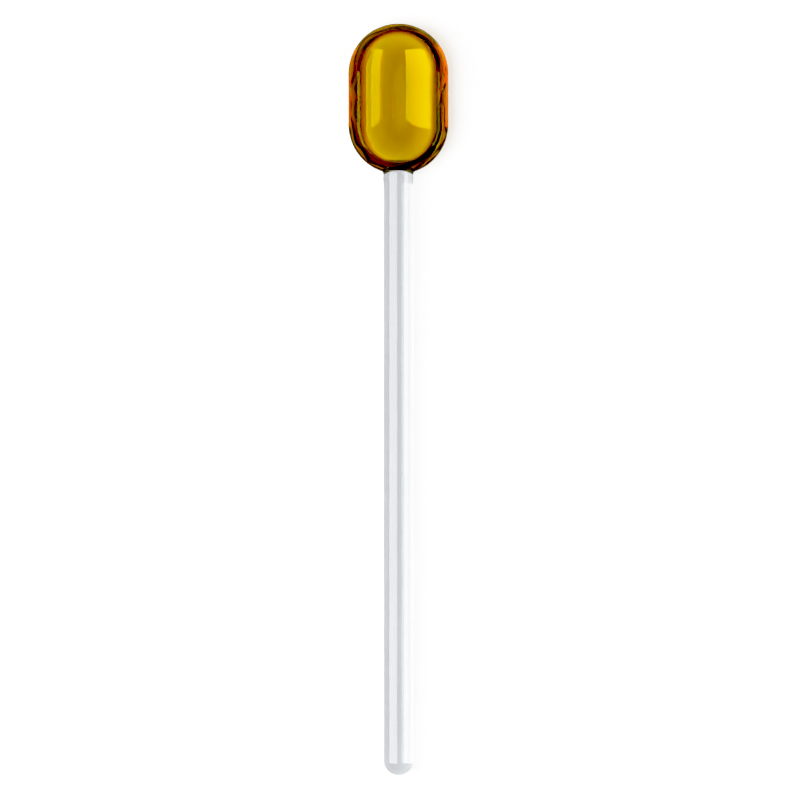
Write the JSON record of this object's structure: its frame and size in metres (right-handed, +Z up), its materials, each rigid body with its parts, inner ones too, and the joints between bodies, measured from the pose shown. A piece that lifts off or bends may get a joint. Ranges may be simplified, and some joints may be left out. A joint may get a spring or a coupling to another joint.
{
  "type": "stirring spoon",
  "caption": "Glass stirring spoon: a shallow amber dish with a thick rim, melted onto a straight clear glass rod with a round fire-polished end.",
  "frame": {"origin": "middle of the bounding box's underside: the plane that the spoon lies on", "axes": "+Z up out of the bowl's mouth, +Y along the rod towards the bowl, +X across"},
  "size_m": [0.027, 0.203, 0.0082],
  "materials": {
    "amber_glass": "fire-polished solid amber glass, pale yellow where thin and red-brown where thick",
    "clear_glass": "smooth drawn clear glass rod with a fire-polished end"
  },
  "bodies": {
    "root": {"bowl": "amber_glass", "stem": "clear_glass"}
  },
  "joints": []
}
